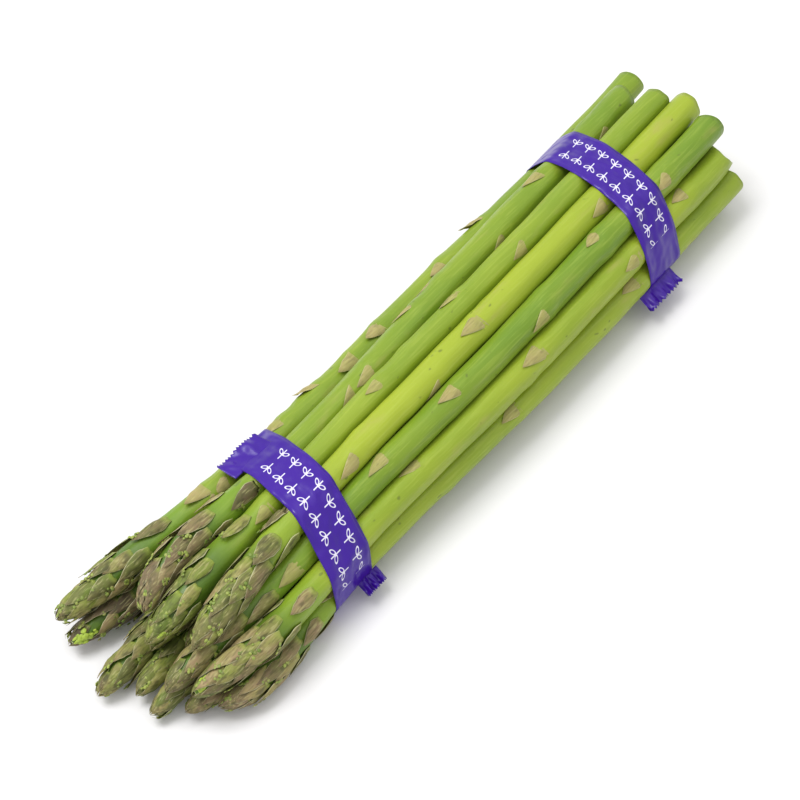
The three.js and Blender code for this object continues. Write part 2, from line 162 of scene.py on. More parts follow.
# Clusters of unopened flower buds, and the crumbs of flesh of a torn place
grainShape = {"across": (0.2, 0.7), "far": (0.62, 0.9), "scatter": 0.22, "scatterAlong": 0.09,
              "size": (0.28, 0.46), "height": (0.1, 0.6), "longer": 1.25}
woundShape = {"crumbs": 26, "size": (0.2, 0.45), "height": (0.3, 1.0), "scatter": 0.5,
              "scatterAlong": 0.7, "flatness": 0.7, "longer": (1.0, 2.6),
              "openWithin": 2.8, "openLength": 7, "openTurn": 0.8}

tapeShape = {
    "around": 260, "across": 12, "gap": 0.12, "thickness": 0.14,
    "directions": 720,   # that the outline of the heap is read in
    "softening": 8,      # directions to each side over which the tape rounds off its turns
    "sag": 0.35,         # height of the tape's underside
    "lowest": 0.12, "lowestEnd": 0.15,
    "ripple": 0.12, "rootDepth": 0.25, "creaseDrift": 0.25, "toothFrom": 0.85,
    "endGrid": (12, 28), "endPrint": 4,
}


def say(text):
    print("asparagus:", text)


# Centre lines, read from the plain solids

def spotsOf(name):
    mesh = nodes[name].data
    spots = np.empty(len(mesh.vertices) * 3)
    mesh.vertices.foreach_get("co", spots)
    return spots.reshape(-1, 3) / mm


def cutThrough(corners, x):
    # Where the triangles of a solid cross the plane at x, as rows of y and z
    found = []
    for first, second in ((0, 1), (1, 2), (2, 0)):
        a, b = corners[:, first], corners[:, second]
        crossing = (a[:, 0] - x) * (b[:, 0] - x) < 0
        share = (x - a[crossing, 0]) / (b[crossing, 0] - a[crossing, 0])
        found.append(a[crossing, 1:] + share[:, None] * (b - a)[crossing, 1:])
    return np.concatenate(found)


def stalkCentre(points):
    # Centre of the round stalk in a section, with the leaves that stand out of it left aside
    kept = points
    for _ in range(centreReading["passes"]):
        grid = np.column_stack([2 * kept, np.ones(len(kept))])
        centre = np.linalg.lstsq(grid, (kept ** 2).sum(1), rcond=None)[0][:2]
        reach = np.hypot(*(points - centre).T)
        limit = centreReading["standOut"] * np.median(np.hypot(*(kept - centre).T))
        kept = points[reach < limit]
        if len(kept) < centreReading["fewest"]:
            break
    return centre


def readSpear(name):
    mesh = nodes[name].data
    mesh.calc_loop_triangles()
    index = np.empty(len(mesh.loop_triangles) * 3, dtype=int)
    mesh.loop_triangles.foreach_get("vertices", index)
    corners = spotsOf(name)[index].reshape(-1, 3, 3)
    low, high = corners[..., 0].min(), corners[..., 0].max()
    notes, how = spearNotes[name], centreReading
    section = cutThrough(corners, high - how["radiusAt"])
    radius = np.percentile(np.hypot(*(section - stalkCentre(section)).T), how["radiusShare"])
    stations = np.arange(low + how["fromTip"], high - how["fromCut"], how["step"])
    centres = np.array([stalkCentre(cutThrough(corners, x)) for x in stations])
    y = np.polynomial.Polynomial.fit(stations, centres[:, 0], how["degree"])
    z = np.polynomial.Polynomial.fit(stations, centres[:, 1], how["degree"])
    start = low + how["skinStart"]
    end = high - abs(notes["slope"]) * radius
    xs = np.linspace(start, end, how["spots"])
    steps = np.hypot(np.hypot(np.diff(xs), np.diff(y(xs))), np.diff(z(xs)))
    run = np.concatenate([[0], np.cumsum(steps)])
    return {"name": name, "radius": radius, "y": y, "z": z, "start": start, "end": end,
            "xs": xs, "run": run, "length": run[-1], **notes}


def readBand(name):
    # Where the tape lies on the surface: X of its middle over Y = 0, its slant and its width
    spots = np.unique(spotsOf(name).round(3), axis=0)
    flat = spots[spots[:, 2] < 0.01]
    flat = flat[np.argsort(flat[:, 1])]
    low, high = flat[:2].mean(axis=0), flat[-2:].mean(axis=0)
    slant = (high[0] - low[0]) / (high[1] - low[1])
    edges = flat[:, 0] - slant * flat[:, 1]
    return {"middle": edges.mean(), "slant": slant, "width": np.ptp(edges),
            "margin": 1.2, "room": 0.24}


def stalkRadius(spear, distance):
    at, radius = zip(*stalkShape["profile"])
    size = spear["radius"] / stalkShape["nominal"]
    inHead = np.clip(distance / stalkShape["swellLength"], 0, 1)
    swelling = 1 + (spear["head"] - 1) * np.sin(math.pi * inHead)
    return np.interp(distance, at, radius) * size * swelling + stalkShape["plump"]


def along(spear, distance):
    # Centre and the two directions across the spear, for many distances from the tip at once
    inside = np.clip(distance, 0, spear["length"])
    x = np.interp(inside, spear["run"], spear["xs"])
    y, z = spear["y"], spear["z"]
    ahead = np.column_stack([np.ones_like(x), y.deriv()(x), z.deriv()(x)])
    ahead /= np.linalg.norm(ahead, axis=1)[:, None]
    centre = np.column_stack([x, y(x), z(x)]) + ahead * (distance - inside)[:, None]
    side = np.cross(ahead, [0, 0, 1])
    side /= np.linalg.norm(side, axis=1)[:, None]
    return centre, side, np.cross(side, ahead)


def placed(spear, angle, height, distance):
    centre, side, up = along(spear, distance)
    reach = (stalkRadius(spear, np.maximum(distance, 0)) + height)[:, None]
    reach = reach * np.clip(1 + distance / stalkShape["closing"], 0.05, 1)[:, None]
    return centre + side * reach * np.cos(angle)[:, None] + up * reach * np.sin(angle)[:, None]


def roomAround(spear, spears, angle, distance):
    # Free space over each point of the stalk's skin, up to the neighbours, the surface below and
    # the tape
    points = placed(spear, angle, np.zeros_like(angle), distance)
    room = 2 * points[:, 2] + 0.1
    x = points[:, 0]
    for other in spears:
        if other is spear:
            continue
        near = (x > other["start"] - 2) & (x < other["end"] + 2)
        across = np.hypot(points[:, 1] - other["y"](x), points[:, 2] - other["z"](x))
        gap = across - stalkRadius(other, np.clip(x - other["start"], 0, None))
        room = np.where(near, np.minimum(room, gap), room)
    for band in bands.values():
        off = np.abs(x - band["middle"] - band["slant"] * points[:, 1])
        under = off < band["width"] / 2 + band["margin"]
        room = np.where(under, np.minimum(room, band["room"]), room)
    return room


spears = [readSpear(name) for name in sorted(spearNotes)]
bands = {name: readBand(name) for name in ("band_tips", "band_butts")}
say("read %d spears, lengths %s" % (len(spears), [round(s["length"]) for s in spears]))


# Growth space: a vertex at (angle, height, distance) is at that angle round the spear, that
# height over the skin and that distance from the tip, all in millimetres and radians

def growStalk(bm, spear, tone, brown):
    rings = int(spear["length"] / stalkShape["ringStep"])
    made = bmesh.ops.create_grid(
        bm, x_segments=stalkShape["sides"], y_segments=rings, size=1.0, calc_uvs=True)
    phase = random.uniform(0, 6.28)
    for vert in made["verts"]:
        angle = (vert.co.x + 1) * math.pi
        distance = (vert.co.y + 1) / 2 * spear["length"]
        height = stalkShape["ribs"] * math.sin(7 * angle + phase + 0.004 * distance)
        height += stalkShape["ribs"] * math.sin(3 * angle - phase + 0.01 * distance)
        height += stalkShape["waver"] * math.sin(
            stalkShape["waverPace"] * distance + phase + math.cos(angle - phase))
        for leaf in spear["stemLeaves"]:
            away = (distance - leaf["base"]) / stalkShape["nodeReach"]
            if abs(away) < 3.5:
                facing = 0.5 + 0.5 * math.cos(angle - leaf["angle"])
                height += stalkShape["nodeSwell"] * facing ** 2 * math.exp(-away ** 2)
        vert.co = (angle, height, distance)
        vert[tone] = spear["yellow"]
        # How far into the head this ring lies, kept in the brown attribute: the stalk material turns it
        # into the neck's tint and then a painted shade under the head's leaves
        inHead = (leafShape["headLength"] + 2 - distance) / stalkShape["headTintAndShade"]
        vert[brown] = min(1.0, max(0.0, inHead))


def leafHalf(leaf, share):
    # Half the width of the leaf, as a part of its widest
    if leaf["kind"] == "stem":
        return (1 - share) ** 0.95 * (1 + 0.15 * share)
    outward = min(1.0, 0.52 + 1.9 * share)
    inward = 1 - max(0.0, (share - 0.2) / 0.8) ** 1.7
    frayed = leaf["fray"] * math.sin(leafShape["frays"] * share + leaf["phase"])
    return outward * inward * (1 + frayed)


def bell(value, middle, spread):
    return math.exp(-((value - middle) / spread) ** 2)


def growLeaf(bm, leaf, radius, tone, brown):
    made = bmesh.ops.create_grid(
        bm, x_segments=leafShape["around"], y_segments=leafShape["along"], size=1.0, calc_uvs=True)
    verts = made["verts"]
    for vert in verts:
        around = (vert.co.x + 1) * math.pi
        share = (vert.co.y + 1) / 2
        across, side = -math.cos(around), math.sin(around)
        halfTurn = leaf["halfWidth"] * leafHalf(leaf, share) / radius
        thickness = leaf["thick"] * (1 - leafShape["thinning"] * share)
        arching = leafShape["archRest"] + bell(share, leafShape["archAt"], leafShape["archSpread"])
        height = leaf["lift"] * share ** 0.8
        height += leaf["arch"] * (1 - across ** 2) * arching
        height += leaf["curl"] * max(0.0, share - leafShape["curlFrom"]) ** 2 * leafShape["curlGain"]
        height += leaf["wave"] * across ** 2 * math.sin(
            leafShape["waves"] * share + leaf["phase"] + across)
        height += leafShape["collar"] * bell(share, leafShape["collarAt"], leafShape["collarSpread"])
        height -= leafShape["bury"] * math.exp(-share / leafShape["buryLength"])
        distance = leaf["base"] - share * leaf["length"]
        distance += leaf["ears"] * across ** 2 * (1 - share) ** 5
        sway = leaf["sway"] * share ** 1.5
        vert.co = (leaf["angle"] + across * halfTurn + sway, height + side * thickness / 2, distance)
        vert[tone] = leaf["tone"]
        vert[brown] = leaf["brown"]
    for face in {face for vert in verts for face in vert.link_faces}:
        face.material_index = 1


def growBud(bm, spot, size, radius, tone, shade, slot):
    # Small round body: spot is its angle, height and distance, size its reach in the same order
    made = bmesh.ops.create_icosphere(bm, subdivisions=2, radius=1.0, calc_uvs=True)
    for vert in made["verts"]:
        x, y, z = vert.co
        bumpy = 1 + 0.12 * math.sin(5 * x + 7 * y + 9 * z + 40 * shade)
        vert.co = (spot[0] + x * size[0] * bumpy / radius, spot[1] + y * size[1] * bumpy,
                   spot[2] + z * size[2] * bumpy)
        vert[tone] = shade
    for face in {face for vert in made["verts"] for face in vert.link_faces}:
        face.material_index = slot


def growGrains(bm, leaf, radius, tone):
    # Cluster of unopened flower buds that shows beside and beyond the leaf's tip
    middle = random.choice((-1, 1)) * random.uniform(*grainShape["across"])
    far = random.uniform(*grainShape["far"])
    for _ in range(leaf["grains"]):
        across = middle + random.gauss(0, grainShape["scatter"])
        share = far + random.gauss(0, grainShape["scatterAlong"])
        grain = random.uniform(*grainShape["size"])
        height = leaf["lift"] * share + random.uniform(*grainShape["height"])
        spot = (leaf["angle"] + across * leaf["halfWidth"] / radius + leaf["sway"] * share,
                height, leaf["base"] - share * leaf["length"])
        size = (grain, grain, grain * grainShape["longer"])
        growBud(bm, spot, size, radius, tone, random.random(), 2)


def growWound(bm, spear, wound, tone):
    distance, degrees, spread = wound
    radius = float(stalkRadius(spear, distance))
    for _ in range(woundShape["crumbs"]):
        crumb = random.uniform(*woundShape["size"]) * spread
        spot = (math.radians(degrees) + random.gauss(0, woundShape["scatter"]) * spread / radius,
                random.uniform(*woundShape["height"]),
                distance + random.gauss(0, woundShape["scatterAlong"]) * spread)
        size = (crumb, crumb * woundShape["flatness"],
                crumb * random.uniform(*woundShape["longer"]))
        growBud(bm, spot, size, radius, tone, random.random(), 4)


def headLeaf(spear, index):
    shape = headLeafShape
    size = spear["radius"] / stalkShape["nominal"]
    count, neck = leafShape["tuftLeaves"], leafShape["neckNodes"]
    share = min(1.0, index / (count - 1))
    loose = share > shape["looseFrom"] and random.random() < spear["loose"]
    turn = leafShape["headTurns"] - count - len(neck) + index
    base = leafShape["firstBase"] + random.uniform(-1, 1) * shape["baseDrift"]
    base += (leafShape["tuftLength"] - leafShape["firstBase"]) * share ** leafShape["crowding"]
    if index >= count:
        base = neck[index - count] + random.uniform(-1, 1) * shape["neckDrift"]
    length = (shape["length"][0] + shape["length"][1] * share ** 0.6) * size
    length *= random.uniform(*shape["lengthDrift"]) * (shape["looseLength"] if loose else 1)
    rising = math.sin(math.pi * 0.75 * share)
    return {
        "kind": "head", "base": base,
        "angle": math.radians(spear["turn"]) + turn * leafShape["golden"]
                 + random.uniform(-1, 1) * shape["turnDrift"],
        "length": min(length, base + shape["beyondTip"]),
        "halfWidth": (shape["halfWidth"][0] + shape["halfWidth"][1] * share ** 0.5) * size
                     * random.uniform(*shape["widthDrift"]),
        "lift": (shape["lift"][0] + shape["lift"][1] * rising) * random.uniform(*shape["liftDrift"])
                + (random.uniform(*shape["looseLift"]) if loose else 0),
        "arch": random.uniform(*shape["arch"]) * size,
        "curl": random.uniform(*shape["looseCurl" if loose else "curl"]),
        "wave": random.uniform(*shape["wave"]), "fray": random.uniform(*shape["fray"]),
        "phase": random.uniform(0, 2 * math.pi), "thick": shape["thick"],
        "ears": random.uniform(*shape["ears"]), "sway": random.uniform(*shape["sway"]),
        "tone": random.random(),
        "brown": spear["brown"] + random.uniform(-1, 1) * shape["brownDrift"],
        "grains": shape["looseGrains"] if loose else grainsOf(share),
    }


def grainsOf(share):
    shape = headLeafShape
    some = share > shape["grainsFrom"] and random.random() < shape["grainsShare"]
    return shape["grains"] if some else 0


def stemLeaf(spear, base, angle, lift=0.0):
    shape = stemLeafShape
    size = spear["radius"] / stalkShape["nominal"]
    return {
        "kind": "stem", "base": base,
        "angle": angle + random.uniform(-1, 1) * shape["turnDrift"],
        "length": random.uniform(*shape["length"]) * size,
        "halfWidth": random.uniform(*shape["halfWidth"]) * size,
        "lift": random.uniform(*shape["lift"]) + lift,
        "arch": random.uniform(*shape["arch"]) + lift / 4,
        "curl": random.uniform(*shape["curl"]) + lift,
        "wave": random.uniform(*shape["wave"]) + lift / 6,
        "phase": random.uniform(0, 2 * math.pi), "thick": shape["thick"],
        "ears": random.uniform(*shape["ears"]), "sway": random.uniform(*shape["sway"]),
        "tone": random.uniform(*shape["tone"]),
        "brown": shape["brown"] + random.uniform(*shape["brownDrift"]) + lift / 3,
        "grains": 0,
    }


def overWound(spear, leaf):
    # Whether the leaf would hide a place torn right at the tip
    for distance, degrees, _ in wounds.get(spear["name"], []):
        if distance > woundShape["openWithin"]:
            continue
        far = leaf["base"] - distance
        across = math.cos(leaf["angle"] - math.radians(degrees))
        if 0 < far < min(leaf["length"], woundShape["openLength"]) and across > woundShape["openTurn"]:
            return True
    return False


def planLeaves(spear):
    # A spiral from the tip down; along the open side, the places noted for the spear instead
    count = leafShape["tuftLeaves"] + len(leafShape["neckNodes"])
    leaves = [headLeaf(spear, index) for index in range(count)]
    lost = leafShape["lostShare"]
    kept = [leaf for leaf in leaves
            if leaf["base"] < leafShape["keptLength"] or random.random() > lost]
    spear["headLeaves"] = [leaf for leaf in kept if not overWound(spear, leaf)]
    spear["stemLeaves"] = []
    noted = spear.get("leaves", [])
    for index, base in enumerate(leafShape["stemNodes"]):
        angle = math.radians(spear["turn"]) + (leafShape["headTurns"] + index) * leafShape["golden"]
        if noted and math.cos(angle - leafShape["facing"]) > -0.2:
            continue
        spear["stemLeaves"].append(stemLeaf(spear, base, angle))
    for base, degrees, *lift in noted:
        spear["stemLeaves"].append(stemLeaf(spear, base, math.radians(degrees), *lift))


def growParts(bm, spear):
    bm.loops.layers.uv.new("Growth")
    tone = bm.verts.layers.float.new("tone")
    brown = bm.verts.layers.float.new("brown")
    growStalk(bm, spear, tone, brown)
    for leaf in spear["headLeaves"] + spear["stemLeaves"]:
        middle = leaf["base"] - leafShape["middle"] * leaf["length"]
        radius = float(stalkRadius(spear, max(middle, 2)))
        if leaf["kind"] == "stem":
            room = roomAround(spear, spears, np.array([leaf["angle"]]), np.array([middle]))
            if room[0] < leafShape["leastRoom"]:
                continue
        growLeaf(bm, leaf, radius, tone, brown)
        growGrains(bm, leaf, radius, tone)
    for wound in wounds.get(spear["name"], []):
        growWound(bm, spear, wound, tone)


def cutShift(spear, angle, distance):
    # How far the cut's slope draws each point of the skin along the spear
    towardsCut = np.clip(1 - (spear["length"] - distance) / stalkShape["cutLength"], 0, 1)
    shift = spear["slope"] * np.cos(angle) * spear["radius"]
    shift += stalkShape["cutRough"] * np.sin(5 * angle + spear["turn"]) * np.sin(2 * angle)
    if "bevel" in spear:
        turn, fall = spear["bevel"]
        shift -= fall * np.cos(angle - math.radians(turn)) * spear["radius"]
    return towardsCut * shift


def bendSkin(mesh, spear):
    # From growth space to the spear's place, with every height kept within the room there is
    spots = np.empty(len(mesh.vertices) * 3)
    mesh.vertices.foreach_get("co", spots)
    angle, height, distance = spots.reshape(-1, 3).T.copy()
    distance += cutShift(spear, angle, distance)
    limit = np.maximum(roomAround(spear, spears, angle, distance) / 2 - 0.04, 0.02)
    height = np.where(height > 0, limit * (1 - np.exp(-height / limit)), height)
    mesh.vertices.foreach_set("co", (placed(spear, angle, height, distance) * mm).ravel())


def closeSkin(mesh):
    # Joins the seams and closes the tip and the cut, which are the faces with the most corners
    bm = bmesh.new()
    bm.from_mesh(mesh)
    bmesh.ops.remove_doubles(bm, verts=bm.verts, dist=0.002 * mm)
    openRing = [edge for edge in bm.edges if edge.is_boundary]
    bmesh.ops.holes_fill(bm, edges=openRing, sides=0)
    bmesh.ops.recalc_face_normals(bm, faces=bm.faces)
    for face in bm.faces:
        face.smooth = len(face.verts) < stalkShape["sides"] / 2
        if not face.smooth:
            face.material_index = 3
    bmesh.ops.poke(bm, faces=[face for face in bm.faces if not face.smooth])
    bm.to_mesh(mesh)
    bm.free()


def buildSpear(spear, materials):
    mesh = bpy.data.meshes.new(spear["name"] + "_skin")
    bm = bmesh.new()
    growParts(bm, spear)
    bm.to_mesh(mesh)
    bm.free()
    bendSkin(mesh, spear)
    closeSkin(mesh)
    return addPiece(spear["name"] + "_skin", mesh, spear["name"], materials)


def addPiece(name, mesh, node, materials):
    for material in materials:
        mesh.materials.append(material)
    piece = bpy.data.objects.new(name, mesh)
    bpy.context.scene.collection.objects.link(piece)
    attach(piece, "root")
    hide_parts(node)
    return piece


# Materials

def linear(red, green, blue):
    # Screen colour to the linear values that a shader takes
    return tuple(((c / 255 + 0.055) / 1.055) ** 2.4 if c > 10 else c / 255 / 12.92
                 for c in (red, green, blue)) + (1.0,)


class Sheet:
    # Node tree of one material, with short calls for the nodes used here
    def __init__(self, name):
        self.material = bpy.data.materials.new(name)
        self.material.use_nodes = True
        self.tree = self.material.node_tree
        self.shader = self.tree.nodes["Principled BSDF"]

    def node(self, kind, **values):
        made = self.tree.nodes.new(kind)
        for key, value in values.items():
            setattr(made, key, value)
        return made

    def link(self, output, socket):
        self.tree.links.new(output, socket)

    def feed(self, socket, value):
        if hasattr(value, "is_output"):
            self.link(value, socket)
        else:
            socket.default_value = value

    def math(self, operation, *values, clamp=False):
        made = self.node("ShaderNodeMath", operation=operation, use_clamp=clamp)
        for socket, value in zip(made.inputs, values):
            self.feed(socket, value)
        return made.outputs[0]

    def mix(self, amount, first, second, blend="MIX"):
        made = self.node("ShaderNodeMix", data_type="RGBA", blend_type=blend)
        self.feed(made.inputs[0], amount)
        self.feed(made.inputs[6], first)
        self.feed(made.inputs[7], second)
        return made.outputs[2]

    def noise(self, vector, scale, detail=3.0, rough=0.5):
        made = self.node("ShaderNodeTexNoise")
        self.link(vector, made.inputs["Vector"])
        made.inputs["Scale"].default_value = scale
        made.inputs["Detail"].default_value = detail
        made.inputs["Roughness"].default_value = rough
        return made.outputs[0]

    def step(self, value, low, high, out=(0.0, 1.0)):
        made = self.node("ShaderNodeMapRange", interpolation_type="SMOOTHSTEP")
        for socket, given in zip(made.inputs, (value, low, high, out[0], out[1])):
            self.feed(socket, given)
        return made.outputs[0]

    def scaled(self, output, scale):
        made = self.node("ShaderNodeMapping")
        self.link(output, made.inputs[0])
        made.inputs["Scale"].default_value = scale
        return made.outputs[0]

    def objectPlace(self, scale=(1, 1, 1)):
        return self.scaled(self.node("ShaderNodeTexCoord").outputs["Object"], scale)

    def uv(self, name):
        return self.node("ShaderNodeUVMap", uv_map=name).outputs[0]

    def split(self, vector):
        parts = self.node("ShaderNodeSeparateXYZ")
        self.link(vector, parts.inputs[0])
        return parts.outputs[0], parts.outputs[1]

    def reading(self, name):
        return self.node("ShaderNodeAttribute", attribute_name=name).outputs["Fac"]

    def bump(self, height, strength, distance):
        made = self.node("ShaderNodeBump")
        made.inputs["Strength"].default_value = strength
        made.inputs["Distance"].default_value = distance
        self.link(height, made.inputs["Height"])
        self.link(made.outputs[0], self.shader.inputs["Normal"])

    def set(self, **values):
        for key, value in values.items():
            self.shader.inputs[key.replace("_", " ")].default_value = value


def stalkMaterial():
    # Waxy skin, green to yellow by the spear's own tone and a slow drift along it, with pale streaks,
    # brown blushes and a few specks, and a painted shade, deeper green, where the head's leaves cover it
    paint = {
        "green": linear(100, 134, 32), "yellow": linear(156, 172, 44), "streak": linear(178, 192, 84),
        "blush": linear(168, 156, 92), "speck": linear(84, 92, 40), "neck": linear(96, 140, 34),
        # head is a painted shade: the dark green of the stalk inside the head, where its leaves shade it
        "head": linear(58, 88, 24),
    }
    sheet = Sheet("stalkSkin")
    broad = sheet.noise(sheet.objectPlace((0.35, 1, 1)), 60, 2)
    streak = sheet.noise(sheet.objectPlace((0.05, 1, 1)), 1400, 3)
    fine = sheet.noise(sheet.objectPlace((0.4, 1, 1)), 900, 2)
    blotch = sheet.noise(sheet.objectPlace((0.3, 1, 1)), 170, 3)
    dots = sheet.noise(sheet.objectPlace((0.6, 1, 1)), 420, 1)
    drift = sheet.math("MULTIPLY", sheet.math("SUBTRACT", broad, 0.5), 1.1)
    yellow = sheet.math("ADD", sheet.reading("tone"), drift, clamp=True)
    colour = sheet.mix(yellow, paint["green"], paint["yellow"])
    colour = sheet.mix(sheet.step(streak, 0.45, 0.75, (0, 0.22)), colour, paint["streak"])
    colour = sheet.mix(sheet.step(blotch, 0.6, 0.8, (0, 0.4)), colour, paint["blush"])
    colour = sheet.mix(sheet.step(dots, 0.72, 0.78, (0, 0.55)), colour, paint["speck"])
    # On the stalk the brown attribute says how far into the head a point lies: first a neck tint, then the
    # head paint, a painted shade under the head's leaves
    inHead = sheet.reading("brown")
    colour = sheet.mix(sheet.step(inHead, 0.0, 0.4, (0, 0.4)), colour, paint["neck"])
    colour = sheet.mix(sheet.step(inHead, 0.5, 1.0, (0, 0.7)), colour, paint["head"])
    sheet.link(colour, sheet.shader.inputs["Base Color"])
    sheet.link(sheet.step(fine, 0.3, 0.7, (0.36, 0.52)), sheet.shader.inputs["Roughness"])
    sheet.bump(sheet.math("ADD", streak, sheet.math("MULTIPLY", fine, 0.4)), 0.35, 0.0002)
    sheet.set(Subsurface_Weight=0.1, Subsurface_Radius=(0.7, 1.0, 0.25), Subsurface_Scale=0.0015,
              Specular_IOR_Level=0.4)
    return sheet.material


def leafMaterial():
    # Dry scale leaf: olive to brown, streaked along its length, pale at the rim, green at its base
    paint = {
        "olive": (linear(94, 112, 42), linear(134, 144, 62)),
        "dry": (linear(100, 84, 62), linear(158, 136, 98)),
        "purple": linear(80, 70, 56), "patch": linear(62, 62, 34), "vein": linear(78, 80, 42),
        "bright": linear(184, 180, 124), "tip": linear(112, 92, 70), "rim": linear(196, 194, 150),
        "base": linear(150, 168, 70), "stem": linear(176, 166, 104),
    }
    sheet = Sheet("scaleLeaf")
    around, share = sheet.split(sheet.uv("Growth"))
    edge = sheet.math("ABSOLUTE", sheet.math("COSINE", sheet.math("MULTIPLY", around, 2 * math.pi)))
    patch = sheet.noise(sheet.objectPlace((0.5, 1, 1)), 360, 3)
    streak = sheet.noise(sheet.objectPlace((0.12, 1, 1)), 1900, 2)
    blotch = sheet.noise(sheet.objectPlace((0.4, 1, 1)), 620, 2)
    tone, dryness = sheet.reading("tone"), sheet.reading("brown")
    drift = sheet.math("MULTIPLY", sheet.math("SUBTRACT", patch, 0.5), 1.5)
    drift = sheet.math("ADD", drift, sheet.math("MULTIPLY", share, 0.3))
    brown = sheet.math("ADD", dryness, sheet.math("SUBTRACT", drift, 0.15), clamp=True)
    colour = sheet.mix(brown, sheet.mix(tone, *paint["olive"]), sheet.mix(tone, *paint["dry"]))
    colour = sheet.mix(sheet.step(dryness, 0.8, 1.2, (0, 0.75)), colour, paint["purple"])
    colour = sheet.mix(sheet.step(blotch, 0.52, 0.68, (0, 0.6)), colour, paint["patch"])
    colour = sheet.mix(sheet.step(streak, 0.5, 0.72, (0, 0.5)), colour, paint["vein"])
    colour = sheet.mix(sheet.step(streak, 0.46, 0.3, (0, 0.45)), colour, paint["bright"])
    colour = sheet.mix(sheet.step(share, 0.72, 1.0, (0, 0.55)), colour, paint["tip"])
    rim = sheet.math("MULTIPLY", sheet.step(edge, 0.86, 0.99),
                     sheet.step(patch, 0.35, 0.55, (0.25, 0.85)))
    colour = sheet.mix(rim, colour, paint["rim"])
    colour = sheet.mix(sheet.step(share, 0.02, 0.2, (0.6, 0.0)), colour, paint["base"])
    onStem = sheet.step(tone, 1.0, 1.2, (0, 0.45))
    colour = sheet.mix(onStem, colour, paint["stem"])
    sheet.link(colour, sheet.shader.inputs["Base Color"])
    sheet.bump(sheet.math("ADD", streak, patch), 0.5, 0.0002)
    sheet.set(Roughness=0.6, Subsurface_Weight=0.06, Subsurface_Radius=(0.8, 0.9, 0.3),
              Subsurface_Scale=0.001, Specular_IOR_Level=0.3)
    return sheet.material


def budMaterial():
    paint = {"dark": linear(98, 122, 42), "light": linear(160, 172, 80), "dry": linear(118, 96, 68)}
    sheet = Sheet("flowerBud")
    patch = sheet.noise(sheet.objectPlace(), 900, 2)
    colour = sheet.mix(sheet.reading("tone"), paint["dark"], paint["light"])
    colour = sheet.mix(sheet.step(patch, 0.5, 0.7, (0, 0.6)), colour, paint["dry"])
    sheet.link(colour, sheet.shader.inputs["Base Color"])
    sheet.bump(patch, 0.4, 0.0001)
    sheet.set(Roughness=0.5, Subsurface_Weight=0.1, Subsurface_Radius=(0.7, 1.0, 0.3),
              Subsurface_Scale=0.001)
    return sheet.material


def fleshMaterial(name, pale, deep, fibre):
    sheet = Sheet(name)
    patch = sheet.noise(sheet.objectPlace(), 500, 3)
    grain = sheet.noise(sheet.objectPlace((0.2, 1, 1)), 2600, 2)
    colour = sheet.mix(patch, pale, deep)
    colour = sheet.mix(sheet.step(grain, 0.6, 0.75, (0, 0.5)), colour, fibre)
    sheet.link(colour, sheet.shader.inputs["Base Color"])
    sheet.bump(grain, 0.5, 0.0002)
    sheet.set(Roughness=0.55, Subsurface_Weight=0.2, Subsurface_Radius=(0.8, 1.0, 0.4),
              Subsurface_Scale=0.002)
    return sheet.material


tapePrint = {
    "pitch": 5.4,                    # from one sprig to the next, along the tape
    "rows": [(11.2, 1.0), (5.2, -1.0)],   # place across the tape, and the way the sprigs lean
    "leafPlace": (1.05, 0.55), "leafHalf": (1.25, 0.62), "lean": 35,
    "leafRing": 0.8, "leafLine": (0.12, 0.25), "stemLine": (0.12, 0.23), "stemHalf": (1.9, 2.05),
    "repeat": 62.0, "gap": (15.6, 16.0),   # one stretch of print, and the bare stretch in it
}


def printMask(sheet, u, v):
    # White sprigs, each a stem with two leaves in outline, in two rows along the tape
    pitch = tapePrint["pitch"]
    x = sheet.math("SUBTRACT", sheet.math("MODULO", u, pitch), pitch / 2)
    mask = 0.0
    for place, way in tapePrint["rows"]:
        y = sheet.math("SUBTRACT", v, place)
        stem = sheet.math("MULTIPLY",
                          sheet.step(sheet.math("ABSOLUTE", x), *tapePrint["stemLine"], (1, 0)),
                          sheet.step(sheet.math("ABSOLUTE", y), *tapePrint["stemHalf"], (1, 0)))
        mask = sheet.math("MAXIMUM", mask, stem)
        for hand in (-1, 1):
            lean = math.radians(tapePrint["lean"]) * hand * way
            dx = sheet.math("SUBTRACT", x, hand * tapePrint["leafPlace"][0])
            dy = sheet.math("SUBTRACT", y, way * tapePrint["leafPlace"][1])
            long = sheet.math("ADD", sheet.math("MULTIPLY", dx, math.cos(lean)),
                              sheet.math("MULTIPLY", dy, math.sin(lean)))
            wide = sheet.math("SUBTRACT", sheet.math("MULTIPLY", dy, math.cos(lean)),
                              sheet.math("MULTIPLY", dx, math.sin(lean)))
            longHalf, wideHalf = tapePrint["leafHalf"]
            far = sheet.math("ADD", sheet.math("POWER", sheet.math("DIVIDE", long, longHalf), 2.0),
                             sheet.math("POWER", sheet.math("DIVIDE", wide, wideHalf), 2.0))
            off = sheet.math("SUBTRACT", sheet.math("SQRT", far), tapePrint["leafRing"])
            ring = sheet.step(sheet.math("ABSOLUTE", off), *tapePrint["leafLine"], (1, 0))
            mask = sheet.math("MAXIMUM", mask, ring)
    printed = sheet.step(sheet.math("MODULO", u, tapePrint["repeat"]), *tapePrint["gap"])
    return sheet.math("MULTIPLY", mask, printed)


